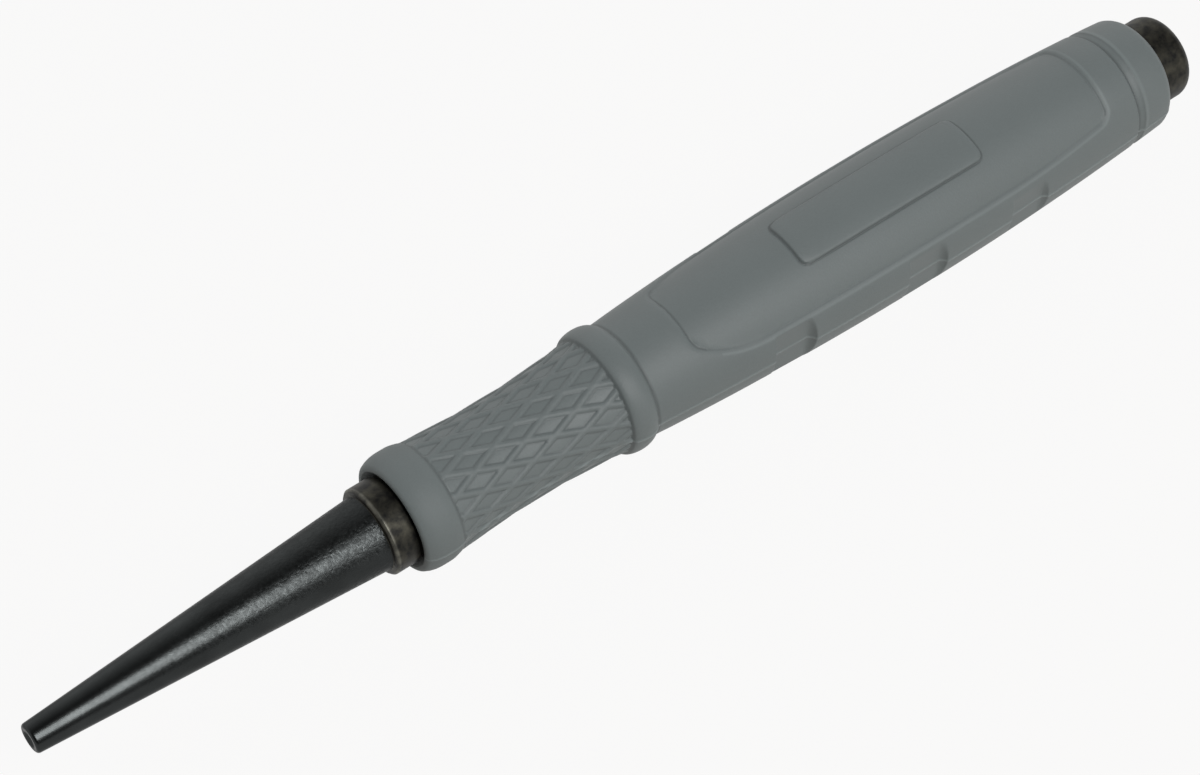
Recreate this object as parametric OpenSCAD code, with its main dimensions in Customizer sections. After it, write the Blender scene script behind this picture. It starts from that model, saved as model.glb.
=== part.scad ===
// Nail setter: a one-piece steel punch with a moulded soft grip.
// The tool's axis is X, with the working tip at the low end and the struck end at the high end.
// Z runs through the middle of the upper grip panel, and the origin is in the middle of the collar.

/* [Steel punch] */
// Diameter of the working tip
tip_d = 3.2; // [2:0.1:4.5]
// Bevel round the edge of the working tip
tip_bevel = 0.3; // [0.2:0.05:0.8]
// Diameter of the hollow in the tip, which keeps it on the nail head
cup_d = 1.9; // [1:0.1:2.2]
// Depth of the hollow in the tip
cup_depth = 0.4; // [0.2:0.05:0.8]
// Length of the tapered nose
nose_l = 38.5; // [25:0.5:60]
// Diameter of the nose where it meets the shoulder
nose_base_d = 8.1; // [5.5:0.1:9]
// Diameter of the bar
bar_d = 9.5; // [9.2:0.1:11]
// Bevel round the front edge of the bar
shoulder_bevel = 0.25; // [0.1:0.05:0.4]
// Length of bare bar between the shoulder and the grip
collar_l = 2.7; // [1:0.1:10]
// Length of bare bar behind the grip, which the hammer strikes
head_l = 4.4; // [3:0.1:20]
// Radius round the edge of the struck face
head_edge_r = 1.5; // [0.5:0.1:2.5]

/* [Steel under the grip] */
// How far the tang is turned down from the bar, which keeps the grip between two shoulders
tang_relief = 0.3; // [0.1:0.05:0.8]
// Depth of the two flats that stop the grip turning on the tang
key_flat_depth = 0.6; // [0.3:0.05:1]
// Length of the two flats
key_flat_l = 24; // [10:1:30]

/* [Grip zones] */
// Length of the plain front lip
lip_l = 4.3; // [3:0.1:8]
// Length of the hollowed finger waist
waist_l = 20.3; // [17:0.1:24]
// Length of the ring behind the waist
ring_l = 3.5; // [2.5:0.1:5]
// Length of the barrel up to the rear groove
barrel_l = 64.1; // [62:0.1:80]
// Width of the rear groove
rear_groove_w = 0.9; // [0.5:0.1:1.5]
// Length of the rounded tail behind the rear groove
tail_l = 4.5; // [3.5:0.1:10]

/* [Grip form] */
// Diameter of the front lip
lip_d = 12.76; // [12.6:0.02:14]
// Radius round the outer edge of the lip and of the tail
end_round_r = 1.4; // [0.5:0.1:1.8]
// Bevel round the inner edge of the lip
mouth_bevel = 0.55; // [0.2:0.05:0.8]
// Smallest diameter of the waist
waist_d = 11.4; // [11:0.1:12.2]
// Radius of the hollow along the waist
waist_bow_r = 98; // [70:1:200]
// Distance from the front of the waist to its smallest diameter
waist_low_at = 9.2; // [7:0.1:12]
// Diameter over the ring
ring_d = 13.84; // [13.6:0.02:15]
// Radius of the ring's section
ring_round_r = 3.8; // [3:0.1:5]
// Largest diameter of the barrel
barrel_d = 15.4; // [15:0.05:18]
// Radius of the swell along the barrel
barrel_bow_r = 452; // [350:1:800]
// Distance from the ring to the largest diameter
barrel_high_at = 34.7; // [30:0.1:38]
// Depth of the rear groove
rear_groove_depth = 0.35; // [0.2:0.05:0.6]

/* [Diamond pockets on the waist] */
// Number of columns of pockets in line round the waist
pocket_columns = 16; // [10:1:18]
// Length from pocket to pocket along a column
pocket_pitch = 6; // [5:0.1:7]
// Width of the land between pockets
pocket_land_w = 0.84; // [0.5:0.02:1]
// Depth of a pocket
pocket_depth = 0.2; // [0.1:0.05:0.4]
// Distance from the front of the waist to the first in-line pocket centre
pocket_start = 6.55; // [6.2:0.05:7]

/* [Barrel panels] */
// Depth of the two panels sunk into the barrel
panel_depth = 0.2; // [0.1:0.05:0.4]
// Angle that each panel spans round the barrel
panel_angle = 118; // [100:1:124]
// Distance from the ring to the panel's front edge
panel_start = 5.6; // [4:0.1:10]
// Distance from the panel's rear edge to the rear groove
panel_end_gap = 4.6; // [2:0.1:8]
// Width of the panel's straight front edge
panel_front_w = 7.8; // [6:0.1:9]
// Radius of the long front corners of a panel
panel_front_r = 11; // [9:0.5:14]
// Radius of the rear corners of a panel
panel_rear_r = 4; // [2:0.1:5]

/* [Raised plate] */
// Length of the bare plate on the upper panel
plate_l = 23.8; // [15:0.1:30]
// Width of the plate across the barrel
plate_w = 6.5; // [4:0.1:8]
// Height of the plate above its panel
plate_h = 0.3; // [0.1:0.05:0.5]
// Radius of the plate's corners
plate_corner_r = 0.9; // [0.3:0.1:1.8]
// Distance from the panel's front edge to the plate
plate_start = 14.7; // [10:0.1:20]

/* [Side scoops] */
// Length of a scoop
scoop_l = 5.2; // [4:0.1:6]
// Length of the ramp out of a scoop at its rear
scoop_ramp_l = 1.5; // [0.8:0.1:2]
// Length of the step into a scoop at its front
scoop_step_l = 0.5; // [0.2:0.1:1]
// Distance from the ring to the first scoop
scoop_1_at = 14; // [12:0.1:17]
// Distance from the first scoop to the second
scoop_2_gap = 12; // [9:0.1:14]
// Distance from the second scoop to the third
scoop_3_gap = 8.9; // [7:0.1:11]
// Depth of the first scoop
scoop_1_depth = 0.8; // [0.4:0.05:1]
// Depth of the second scoop
scoop_2_depth = 0.65; // [0.4:0.05:1]
// Depth of the third scoop
scoop_3_depth = 0.5; // [0.3:0.05:1]

/* [Hidden] */
$fn = 96;
// How far a cutting tool passes what it cuts
overrun = 1;
// How many straight steps stand for the long arcs of the waist and of the barrel
waist_steps = 8;
barrel_steps = 16;
// How many straight steps stand for a panel's rounded corner
corner_steps = 8;
// Where the first column of pockets stands, as a share of the angle between columns
first_column_share = 0.75;

// Stations along the tool, from the face of the tip
grip_at = nose_l + collar_l;
waist_at = grip_at + lip_l;
ring_at = waist_at + waist_l;
barrel_at = ring_at + ring_l;
rear_groove_at = barrel_at + barrel_l;
grip_end = rear_groove_at + rear_groove_w + tail_l;
overall_l = grip_end + head_l;
collar_mid = (nose_l + shoulder_bevel + grip_at) / 2;
waist_low = waist_at + waist_low_at;
barrel_high = barrel_at + barrel_high_at;
panel_from = barrel_at + panel_start;
panel_to = rear_groove_at - panel_end_gap;
plate_from = panel_from + plate_start;

// Radii
tip_r = tip_d / 2;
bar_r = bar_d / 2;
tang_r = bar_r - tang_relief;
lip_r = lip_d / 2;
waist_r = waist_d / 2;
ring_r = ring_d / 2;
barrel_r = barrel_d / 2;

// Radius of the waist and of the barrel at a station, each an arc
function waist_r_at(x) = waist_r + waist_bow_r - sqrt(pow(waist_bow_r, 2) - pow(x - waist_low, 2));
function barrel_r_at(x) = barrel_r - barrel_bow_r + sqrt(pow(barrel_bow_r, 2) - pow(x - barrel_high, 2));
// Angle of the waist's surface to the tool's axis at a station
function waist_slope_at(x) = asin((x - waist_low) / waist_bow_r);
// Profile points along the waist, and along the barrel at some height above its surface
function waist_arc(from, to) =
    [for (i = [0 : waist_steps]) let (x = from + (to - from) * i / waist_steps) [waist_r_at(x), x]];
function barrel_arc(from, to, height) =
    [for (i = [0 : barrel_steps]) let (x = from + (to - from) * i / barrel_steps) [barrel_r_at(x) + height, x]];

// The parts are modelled standing on the tip, along Z, with the upper panel towards Y
module laid_down() {
    translate([-collar_mid, 0, 0])
        rotate([90, 0, 90])
            children();
}

// Turns a shape that faces Y to an angle from the middle of the upper panel
module turned(angle) {
    rotate([0, 0, -angle])
        children();
}

// A block of the turned profile from one station to another
module disc_profile(r, from, to) {
    translate([0, from])
        square([r, to - from]);
}

// The part of a disc profile outside a quarter round at its outer end
module round_off_profile(r, face, round_r, inward) {
    difference() {
        translate([r - round_r, min(face, face + inward * round_r) - (inward > 0 ? overrun : 0)])
            square([round_r + overrun, round_r + overrun]);
        translate([r - round_r, face + inward * round_r])
            circle(round_r);
    }
}

module punch_profile() {
    difference() {
        union() {
            polygon([
                [0, 0],
                [tip_r - tip_bevel, 0],
                [tip_r, tip_bevel],
                [nose_base_d / 2, nose_l],
                [0, nose_l]
            ]);
            polygon([
                [0, nose_l],
                [bar_r - shoulder_bevel, nose_l],
                [bar_r, nose_l + shoulder_bevel],
                [bar_r, grip_at],
                [tang_r, grip_at],
                [tang_r, grip_end],
                [bar_r, grip_end],
                [bar_r, overall_l],
                [0, overall_l]
            ]);
        }
        round_off_profile(bar_r, overall_l, head_edge_r, -1);
    }
}

// The flats lie on either side of the tang, below the thickest part of the grip
module key_flats() {
    for (side = [-1, 1])
        translate([-tang_r, side > 0 ? tang_r - key_flat_depth : -tang_r - overrun, barrel_high - key_flat_l / 2])
            cube([2 * tang_r, key_flat_depth + overrun, key_flat_l]);
}

module punch_solid() {
    difference() {
        rotate_extrude()
            punch_profile();
        key_flats();
        translate([0, 0, -overrun])
            cylinder(d1 = cup_d * (1 + overrun / cup_depth), d2 = 0, h = cup_depth + overrun);
    }
}

// The grip's turned profile: lip, hollow waist, ring and swelling barrel with its groove and tail
module grip_profile() {
    difference() {
        union() {
            difference() {
                disc_profile(lip_r, grip_at, waist_at);
                round_off_profile(lip_r, grip_at, end_round_r, 1);
            }
            polygon(concat([[0, waist_at]], waist_arc(waist_at, ring_at), [[0, ring_at]]));
            intersection() {
                disc_profile(ring_r + overrun, ring_at, barrel_at);
                translate([ring_r - ring_round_r, (ring_at + barrel_at) / 2])
                    circle(ring_round_r);
            }
            polygon(concat([[0, barrel_at]], barrel_arc(barrel_at, grip_end, 0), [[0, grip_end]]));
        }
        translate([
            barrel_r_at(rear_groove_at) - rear_groove_depth + rear_groove_w / 2,
            rear_groove_at + rear_groove_w / 2
        ])
            circle(rear_groove_w / 2);
        round_off_profile(barrel_r_at(grip_end - end_round_r), grip_end, end_round_r, -1);
        polygon([
            [tang_r, grip_at - overrun],
            [bar_r + mouth_bevel + overrun, grip_at - overrun],
            [tang_r, grip_at + mouth_bevel + tang_relief]
        ]);
    }
}

// One pocket's outline, with its length along Y and its corners short of the lattice by the land
module pocket_outline() {
    half_l = pocket_pitch / 2;
    half_w = PI * waist_d / pocket_columns / 2;
    land_share = 1 - pocket_land_w / 2 * norm([half_l, half_w]) / (half_l * half_w);
    scale([land_share, land_share])
        polygon([[half_w, 0], [0, half_l], [-half_w, 0], [0, -half_l]]);
}

// A pocket's cutter at a station, square to the waist's surface there and kept within the waist
module pocket_cutter(x) {
    intersection() {
        translate([0, waist_r_at(x) - pocket_depth, x])
            rotate([-90 - waist_slope_at(x), 0, 0])
                linear_extrude(pocket_depth + overrun)
                    pocket_outline();
        translate([-waist_r, 0, waist_at])
            cube([waist_d, waist_d, waist_l]);
    }
}

module diamond_pockets() {
    column_angle = 360 / pocket_columns;
    rows = ceil(waist_l / pocket_pitch);
    for (i = [0 : pocket_columns - 1])
        turned((i + first_column_share) * column_angle)
            for (j = [-1 : rows])
                for (half = [0, 1])
                    turned(half * column_angle / 2)
                        if (waist_at + pocket_start + (j + half / 2) * pocket_pitch < ring_at)
                            pocket_cutter(waist_at + pocket_start + (j + half / 2) * pocket_pitch);
}

// A panel seen from above, with long round front corners and short round rear ones
module panel_outline() {
    half_w = barrel_r + overrun;
    side = barrel_r_at(panel_from + panel_front_r) * sin(panel_angle / 2);
    rear_side = barrel_r_at(panel_to) * sin(panel_angle / 2);
    sweep = acos(1 - (side - panel_front_w / 2) / panel_front_r);
    corner_l = panel_front_r * sin(sweep);
    front = [for (i = [corner_steps : -1 : 0]) let (a = sweep * i / corner_steps)
        [side - panel_front_r * (1 - cos(a)), panel_from + corner_l - panel_front_r * sin(a)]];
    rear = [for (i = [0 : corner_steps]) let (a = 90 * i / corner_steps)
        [rear_side - panel_rear_r * (1 - cos(a)), panel_to - panel_rear_r * (1 - sin(a))]];
    right = concat(front, [[half_w, panel_from + corner_l], [half_w, panel_to - panel_rear_r]], rear);
    left = [for (i = [len(right) - 1 : -1 : 0]) [-right[i][0], right[i][1]]];
    polygon(concat(right, left));
}

// The profile of a layer that follows the barrel, between two heights above its surface
module barrel_layer(low, high, from, to) {
    outer = barrel_arc(from, to, high);
    polygon(concat(barrel_arc(from, to, low), [for (i = [len(outer) - 1 : -1 : 0]) outer[i]]));
}

// Extrudes an outline seen from above, X across and Y along the tool, upward from the axis
module raised_from_axis() {
    rotate([90, 0, 0])
        translate([0, 0, -barrel_r - overrun])
            linear_extrude(barrel_r + overrun)
                children();
}

module panel_cutter() {
    intersection() {
        rotate([0, 0, 90 - panel_angle / 2])
            rotate_extrude(angle = panel_angle)
                barrel_layer(-panel_depth, overrun, panel_from, panel_to);
        raised_from_axis()
            panel_outline();
    }
}

// The plate is bare, with a top that follows the barrel
module bare_plate() {
    intersection() {
        rotate_extrude()
            barrel_layer(-panel_depth - overrun, plate_h - panel_depth, plate_from, plate_from + plate_l);
        raised_from_axis()
            plate_outline();
    }
}

module plate_outline() {
    across = plate_w / 2 - plate_corner_r;
    translate([-across, plate_from])
        square([2 * across, plate_l]);
    translate([-plate_w / 2, plate_from + plate_corner_r])
        square([plate_w, plate_l - 2 * plate_corner_r]);
    for (side = [-1, 1])
        for (station = [plate_from + plate_corner_r, plate_from + plate_l - plate_corner_r])
            translate([side * across, station])
                circle(plate_corner_r);
}

// A scoop has a flat floor, a short step at its front and a ramp out at its rear
module scoop_cutter(from, depth) {
    floor_r = barrel_r_at(from + scoop_l / 2) - depth;
    rotate([90, 0, 90])
        linear_extrude(barrel_d, center = true)
            polygon([
                [barrel_r_at(from) + overrun, from],
                [barrel_r_at(from), from],
                [floor_r, from + scoop_step_l],
                [floor_r, from + scoop_l - scoop_ramp_l],
                [barrel_r_at(from + scoop_l), from + scoop_l],
                [barrel_r_at(from + scoop_l) + overrun, from + scoop_l]
            ]);
}

module side_scoops() {
    second_at = scoop_1_at + scoop_l + scoop_2_gap;
    third_at = second_at + scoop_l + scoop_3_gap;
    for (side = [-90, 90])
        turned(side) {
            scoop_cutter(barrel_at + scoop_1_at, scoop_1_depth);
            scoop_cutter(barrel_at + second_at, scoop_2_depth);
            scoop_cutter(barrel_at + third_at, scoop_3_depth);
        }
}

module steel_punch() {
    color("#2c2c2d")
        laid_down()
            punch_solid();
}

module soft_grip() {
    color("#717a7a")
        laid_down() {
            difference() {
                rotate_extrude()
                    grip_profile();
                difference() {
                    translate([0, 0, grip_at - overrun])
                        cylinder(r = tang_r, h = grip_end - grip_at + 2 * overrun);
                    key_flats();
                }
                diamond_pockets();
                for (side = [0, 180])
                    turned(side)
                        panel_cutter();
                side_scoops();
            }
            bare_plate();
        }
}

steel_punch();
soft_grip();
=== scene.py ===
"""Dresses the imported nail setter: a blackened steel punch with a moulded soft grip, on a pale floor."""

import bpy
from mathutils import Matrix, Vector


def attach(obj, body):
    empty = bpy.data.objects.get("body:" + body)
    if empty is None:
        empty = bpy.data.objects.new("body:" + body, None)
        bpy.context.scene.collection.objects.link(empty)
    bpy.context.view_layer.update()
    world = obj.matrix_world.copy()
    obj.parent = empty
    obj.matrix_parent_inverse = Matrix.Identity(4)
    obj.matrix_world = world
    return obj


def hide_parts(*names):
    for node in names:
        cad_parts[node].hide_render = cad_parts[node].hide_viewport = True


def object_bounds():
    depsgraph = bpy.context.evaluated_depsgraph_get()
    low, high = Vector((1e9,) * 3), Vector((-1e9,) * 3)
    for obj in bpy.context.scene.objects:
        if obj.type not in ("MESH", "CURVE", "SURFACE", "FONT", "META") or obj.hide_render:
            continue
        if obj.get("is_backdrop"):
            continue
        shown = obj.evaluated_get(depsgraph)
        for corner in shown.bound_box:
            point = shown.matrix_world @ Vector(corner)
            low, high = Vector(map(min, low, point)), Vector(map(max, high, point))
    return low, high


bl_info = {
    "name": "Nail Setter",
    "version": (1, 0, 0),
    "blender": (4, 5, 0),
    "location": "View3D > Sidebar > Nail Setter",
    "description": "Builds a steel nail setter with a moulded grip around its packed model",
    "category": "Add Mesh",
}

import math

import bpy
import numpy as np
from bpy.props import FloatProperty, FloatVectorProperty, IntProperty, PointerProperty
from mathutils import Matrix, Vector

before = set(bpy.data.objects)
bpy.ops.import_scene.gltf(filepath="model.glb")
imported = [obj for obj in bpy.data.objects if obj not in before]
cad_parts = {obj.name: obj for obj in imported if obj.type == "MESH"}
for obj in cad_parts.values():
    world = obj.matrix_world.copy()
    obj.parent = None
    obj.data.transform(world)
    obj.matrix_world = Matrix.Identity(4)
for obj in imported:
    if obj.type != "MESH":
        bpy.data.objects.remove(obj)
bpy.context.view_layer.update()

MM = 0.001

# A fold sharper than this is shaded as an edge
SHARP_ANGLE = math.radians(50.0)

# The sockets that a Mix node uses for colours
MIX_SHARE, MIX_FROM, MIX_TO, MIX_RESULT = 0, 6, 7, 2


def linear(hex_colour):
    """An sRGB hex colour as linear red, green and blue."""
    srgb = np.array([int(hex_colour[i : i + 2], 16) for i in (1, 3, 5)]) / 255
    return tuple(np.where(srgb <= 0.04045, srgb / 12.92, ((srgb + 0.055) / 1.055) ** 2.4))


def length(name, millimetres, description):
    """A size property, stated in millimetres and kept in metres."""
    metres = millimetres * MM
    return FloatProperty(
        name=name, description=description, default=metres, min=0.0, precision=5, unit="LENGTH"
    )


def lengths(name, millimetres, description):
    """Several sizes in one property, stated in millimetres and kept in metres."""
    metres = [value * MM for value in millimetres]
    return FloatVectorProperty(
        name=name, description=description, default=metres, size=len(metres), min=0.0, unit="LENGTH"
    )


def turn(name, degrees, description):
    """An angle property, stated in degrees."""
    radians = math.radians(degrees)
    return FloatProperty(name=name, description=description, default=radians, subtype="ANGLE")


def power(name, watts, description):
    """A lamp's power, in watts."""
    return FloatProperty(name=name, description=description, default=watts, min=0.0, unit="POWER")


def colour(name, hex_colour, description):
    """A colour property, stated as an sRGB hex value."""
    rgb = linear(hex_colour)
    return FloatVectorProperty(
        name=name, description=description, default=rgb, size=3, min=0.0, max=1.0, subtype="COLOR"
    )


class SteelSettings(bpy.types.PropertyGroup):
    """Sizes and colours of the one-piece steel punch."""

    tip_diameter: length("Tip diameter", 3.2, "Across the working tip")
    tip_edge_radius: length("Tip edge radius", 0.36, "Rounding of the working tip's edge")
    cup_diameter: length("Cup diameter", 1.9, "Across the hollow in the tip")
    cup_depth: length("Cup depth", 0.4, "Depth of the hollow in the tip")
    nose_length: length("Nose length", 38.5, "Length of the tapered nose")
    nose_base_diameter: length("Nose base diameter", 8.1, "Across the nose at the shoulder")
    bar_diameter: length("Bar diameter", 9.5, "Across the collar and the head")
    shoulder_bevel: length("Shoulder bevel", 0.25, "Bevel round the front of the bar")
    collar_length: length("Collar length", 2.7, "Bare bar in front of the grip")
    tang_relief: length("Tang relief", 0.3, "How far the bar is turned down under the grip")
    head_length: length("Head length", 4.4, "Bare bar behind the grip")
    head_edge_radius: length("Head edge radius", 1.5, "Rounding of the struck face's edge")
    edge_radius: length("Edge radius", 0.07, "Softening of the turned edges")
    nose_colour: colour("Nose colour", "#313333", "Black oxide on the ground nose")
    nose_edge_tint: colour("Nose edge tint", "#d2d2d2", "How the oxide dulls grazing reflections")
    # Painted highlight along the collar's front edge, where its bevel would mirror the lamps
    edge_highlight_colour: colour("Edge highlight colour", "#86857b", "Steel showing on the collar's front edge")
    bar_colour: colour("Bar colour", "#1b1b1a", "Black scale on the collar and the head")
    bar_tint: colour("Bar tint", "#424038", "Brown bloom in the black scale")


class GripSettings(bpy.types.PropertyGroup):
    """Sizes and colour of the moulded grip, with stations measured from the face of the tip."""

    lip_length: length("Lip length", 4.3, "Plain front lip")
    lip_diameter: length("Lip diameter", 12.76, "Across the lip")
    lip_drop: length("Lip drop", 0.58, "How much lower the lip is at its face")
    lip_run: length("Lip run", 2.2, "Length of the curve from the face to the lip's full size")
    lip_fade: length("Lip fade", 1.4, "Length of the slope from the lip down to the waist")
    lip_corner: length("Lip corner", 0.3, "Rounding of the lip's front corner")
    mouth_bevel: length("Mouth bevel", 0.55, "Bevel round the inner edge of the lip")
    bore_corner: length("Bore corner", 0.1, "Rounding of the corners on the bore's side")
    waist_length: length("Waist length", 20.3, "Hollow waist for the fingers")
    waist_diameter: length("Waist diameter", 11.4, "Smallest size of the waist")
    waist_bow: length("Waist bow", 98.0, "Radius of the hollow along the waist")
    waist_low: length("Waist low", 9.2, "From the front of the waist to its smallest size")
    ring_length: length("Ring length", 3.2, "Ring behind the waist")
    ring_height: length("Ring height", 0.56, "How far the ring stands out")
    ring_crease: length("Ring crease", 0.08, "Depth of the crease in front of the ring")
    fine_crease: length("Fine crease", 0.045, "Depth of the creases behind the lip and the ring")
    crease_width: length("Crease width", 0.14, "Half width of the creases")
    barrel_length: length("Barrel length", 64.1, "Barrel up to the rear groove")
    barrel_diameter: length("Barrel diameter", 15.4, "Largest size of the barrel")
    barrel_bow: length("Barrel bow", 452.0, "Radius of the swell along the barrel")
    barrel_high: length("Barrel high", 35.0, "From the ring to the barrel's largest size")
    groove_width: length("Groove width", 1.15, "Rear groove")
    groove_depth: length("Groove depth", 0.32, "Rear groove")
    tail_length: length("Tail length", 4.55, "Rounded tail behind the groove")
    tail_corner: length("Tail corner", 1.4, "Rounding of the tail's outer edge")
    pocket_columns: IntProperty(
        name="Pocket columns", description="Columns of pockets round the waist", default=16, min=4
    )
    pocket_shift: FloatProperty(
        name="Pocket shift",
        description="From the upper panel's middle to the first pocket, as a share of a column",
        default=0.75,
    )
    pocket_pitch: length("Pocket pitch", 6.0, "From pocket to pocket along a column")
    pocket_land: length("Pocket land", 0.44, "Flat width of the land between pockets")
    pocket_depth: length("Pocket depth", 0.2, "Depth of the diamond pockets")
    pocket_wall: length("Pocket wall", 0.2, "Width of the sloping wall of a pocket")
    pocket_start: length("Pocket start", 6.55, "From the front of the waist to a pocket's centre")
    pocket_fade: length("Pocket fade", 0.15, "Slope out of the pockets cut by the waist's ends")
    panel_angle: turn("Panel angle", 61.0, "From the middle of a panel to its side")
    panel_blend: length("Panel blend", 1.2, "Softening of the panel's corners at its front edge")
    panel_depth: length("Panel depth", 0.32, "Depth of the two panels")
    panel_taper: length("Panel taper", 1.1, "How much a panel's sides draw in at its rear")
    panel_taper_length: length("Panel taper length", 15.0, "Length over which the sides draw in")
    panel_rim: length("Panel rim", 0.65, "Width of the rounded rim round a panel")
    panel_wall: length("Panel wall", 0.25, "Width of the steep wall round a panel")
    panel_start: length("Panel start", 5.8, "From the ring to the panels")
    panel_end_gap: length("Panel end gap", 3.8, "From the panels to the rear groove")
    panel_front_radius: length("Panel front radius", 12.9, "Long front corners of a panel")
    panel_front_run: length("Panel front run", 8.643, "From the front edge to the corners' end")
    panel_rear_radius: length("Panel rear radius", 1.3, "Rear corners of a panel")
    plate_start: length("Plate start", 14.85, "From the panel's front edge to the bare plate")
    plate_length: length("Plate length", 23.75, "Length of the bare plate")
    plate_width: length("Plate width", 6.5, "Width of the bare plate")
    plate_height: length("Plate height", 0.3, "How far the plate stands above the panel")
    plate_rim: length("Plate rim", 0.35, "Width of the plate's rounded rim")
    plate_wall: length("Plate wall", 0.15, "Width of the plate's steep wall")
    plate_corner: length("Plate corner", 0.9, "Radius of the plate's corners")
    scoop_length: length("Scoop length", 5.25, "Length of a side scoop")
    scoop_ramp: length("Scoop ramp", 0.9, "Curved ramp out of a scoop at its rear")
    scoop_step: length("Scoop step", 0.3, "Step into a scoop at its front")
    scoop_edge: length("Scoop edge", 0.12, "Softening of a scoop's long edges")
    scoop_starts: lengths("Scoop starts", (14.3, 31.5, 45.6), "From the ring to each scoop")
    scoop_depths: lengths("Scoop depths", (0.8, 0.65, 0.5), "Depth of each scoop")
    seam_height: length("Seam height", 0.09, "Height of the mould's parting line")
    seam_width: length("Seam width", 0.16, "Half width of the mould's parting line")
    rubber_colour: colour("Rubber colour", "#676e6e", "Grey thermoplastic rubber")


class StageSettings(bpy.types.PropertyGroup):
    """The floor, the light and the camera."""

    floor_size: length("Floor size", 6000.0, "Side of the square floor")
    floor_colour: colour("Floor colour", "#8f8274", "Warm matte floor")
    key_station: length("Key station", 92.0, "From the tip to under the key soft box")
    key_lean: turn("Key lean", 40.0, "From over the upper panel towards the near side")
    key_width: length("Key width", 500.0, "Size of the key soft box across the tool")
    key_length: length("Key length", 130.0, "Size of the key soft box along the tool")
    key_power: power("Key power", 3.9, "Power of the key soft box")
    fill_station: length("Fill station", 420.0, "From the tip to under the fill soft box")
    fill_lean: turn("Fill lean", 61.0, "From over the upper panel towards the near side")
    fill_width: length("Fill width", 800.0, "Size of the fill soft box across the tool")
    fill_length: length("Fill length", 300.0, "Size of the fill soft box along the tool")
    fill_power: power("Fill power", 1.8, "Power of the fill soft box")
    lamp_height: length("Lamp height", 800.0, "From the tool to both soft boxes")
    aim_station: length("Aim station", 66.9, "From the tip to where the camera looks")
    aim_lift: length("Aim lift", 0.528, "How far above the axis the camera looks, in the picture")
    camera_distance: length("Camera distance", 348.65, "From the tool to the camera")
    camera_lens: length("Camera lens", 105.0, "Focal length on a 36 mm wide sensor")
    camera_lean: turn("Camera lean", 27.0, "From over the upper panel towards the near side")
    camera_swing: turn("Camera swing", 22.0, "From square to the tool towards its tip")
    picture_slope: turn("Picture slope", 31.17, "Rise of the tool across the picture")


def smooth(low, high, x):
    """0 below low, 1 above high and an S curve between them."""
    t = np.clip((x - low) / (high - low), 0.0, 1.0)
    return t * t * (3.0 - 2.0 * t)


def crowded(low, high, count, places, width, weight):
    """count + 1 values from low to high, closer together round the places.

    Their density is 1 plus a bell curve at each place, summed up and read backwards.
    """
    samples = 20001
    fine = np.linspace(low, high, samples)
    density = np.ones_like(fine)
    for place in places:
        density += weight * np.exp(-(((fine - place) / width) ** 2))
    total = np.concatenate([[0.0], np.cumsum((density[1:] + density[:-1]) / 2)])
    return np.interp(np.linspace(0.0, total[-1], count + 1), total, fine)


def fanned(low, high, spacing, edges):
    """Values from low to just below high at an even spacing, with eight more across each edge.

    An edge is its place and its half width. A value nearly on top of the one before it is left out.
    """
    fan = np.array([-1.5, -1.0, -0.6, -0.2, 0.2, 0.6, 1.0, 1.5])
    even = np.linspace(low, high, math.ceil((high - low) / spacing), endpoint=False)
    values = np.sort(np.concatenate([even, *(place + half * fan for place, half in edges)]))
    values = values[(values >= low) & (values < high)]
    finest = min(half for _, half in edges) / 4
    return values[np.diff(values, prepend=low - spacing) > finest]


def quarter(low, high, count):
    """count values from low up to just below high, closer together at low, as on a quarter circle."""
    t = np.linspace(0.0, math.pi / 2, count, endpoint=False)
    return low + (high - low) * (1.0 - np.cos(t))


def moulded_step(past, run, wall, share=0.35):
    """0 on a moulded part's high side and 1 on its low side, by the distance past the edge.

    The high side rounds off by its share over the run before the edge, and a steep S step leads down
    the rest over the wall after it.
    """
    rounding = np.clip(past / run + 1.0, 0.0, 1.0) ** 2
    return share * rounding + (1.0 - share) * smooth(0.0, wall, past)


def soft_least(a, b, reach):
    """The smaller of two arrays, rounded off by a cubic where they differ by less than the reach."""
    near = np.maximum(reach - np.abs(a - b), 0.0) / reach
    return np.minimum(a, b) - near**3 * reach / 6


def rounded_path(corners, radius, steps):
    """A path through the corners, with each inner corner replaced by an arc of up to the radius.

    The arc touches both legs at the same distance from the corner, which is kept under a share of
    the shorter leg.
    """
    leg_share = 0.45
    points = [corners[:1]]
    for before, corner, after in zip(corners[:-2], corners[1:-1], corners[2:]):
        a, b = before - corner, after - corner
        legs = np.linalg.norm(a), np.linalg.norm(b)
        a, b = a / legs[0], b / legs[1]
        half = math.acos(np.clip(a @ b, -1.0, 1.0)) / 2
        reach = min(radius / math.tan(half), leg_share * min(legs))
        t = np.linspace(-1.0, 1.0, steps)[:, None]
        bend = (1.0 - t * t) / 2 * math.sin(half) ** 2
        points.append(corner + reach * ((1.0 - t) / 2 * a + (1.0 + t) / 2 * b) * (1.0 - bend))
    points.append(corners[-1:])
    return np.concatenate(points)


def quarter_turn(x, r, dx, dr, count=13):
    """A quarter ellipse from (x, r) to (x + dx, r + dr).

    It leaves square to the axis and arrives along it.
    """
    t = np.linspace(0.0, math.pi / 2, count)
    return np.stack([x + dx * (1.0 - np.cos(t)), r + dr * np.sin(t)], axis=1)


def divided(path, step):
    """The same path with points added evenly on each leg longer than step, to keep it shaded flat."""
    legs = np.linalg.norm(np.diff(path, axis=0), axis=1)
    parts = np.maximum(np.ceil(legs / step).astype(int), 1)
    places = np.concatenate([[0.0], np.cumsum(np.repeat(1.0 / parts, parts))])
    whole = np.arange(len(path))
    return np.stack([np.interp(places, whole, path[:, axis]) for axis in (0, 1)], axis=1)


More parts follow.
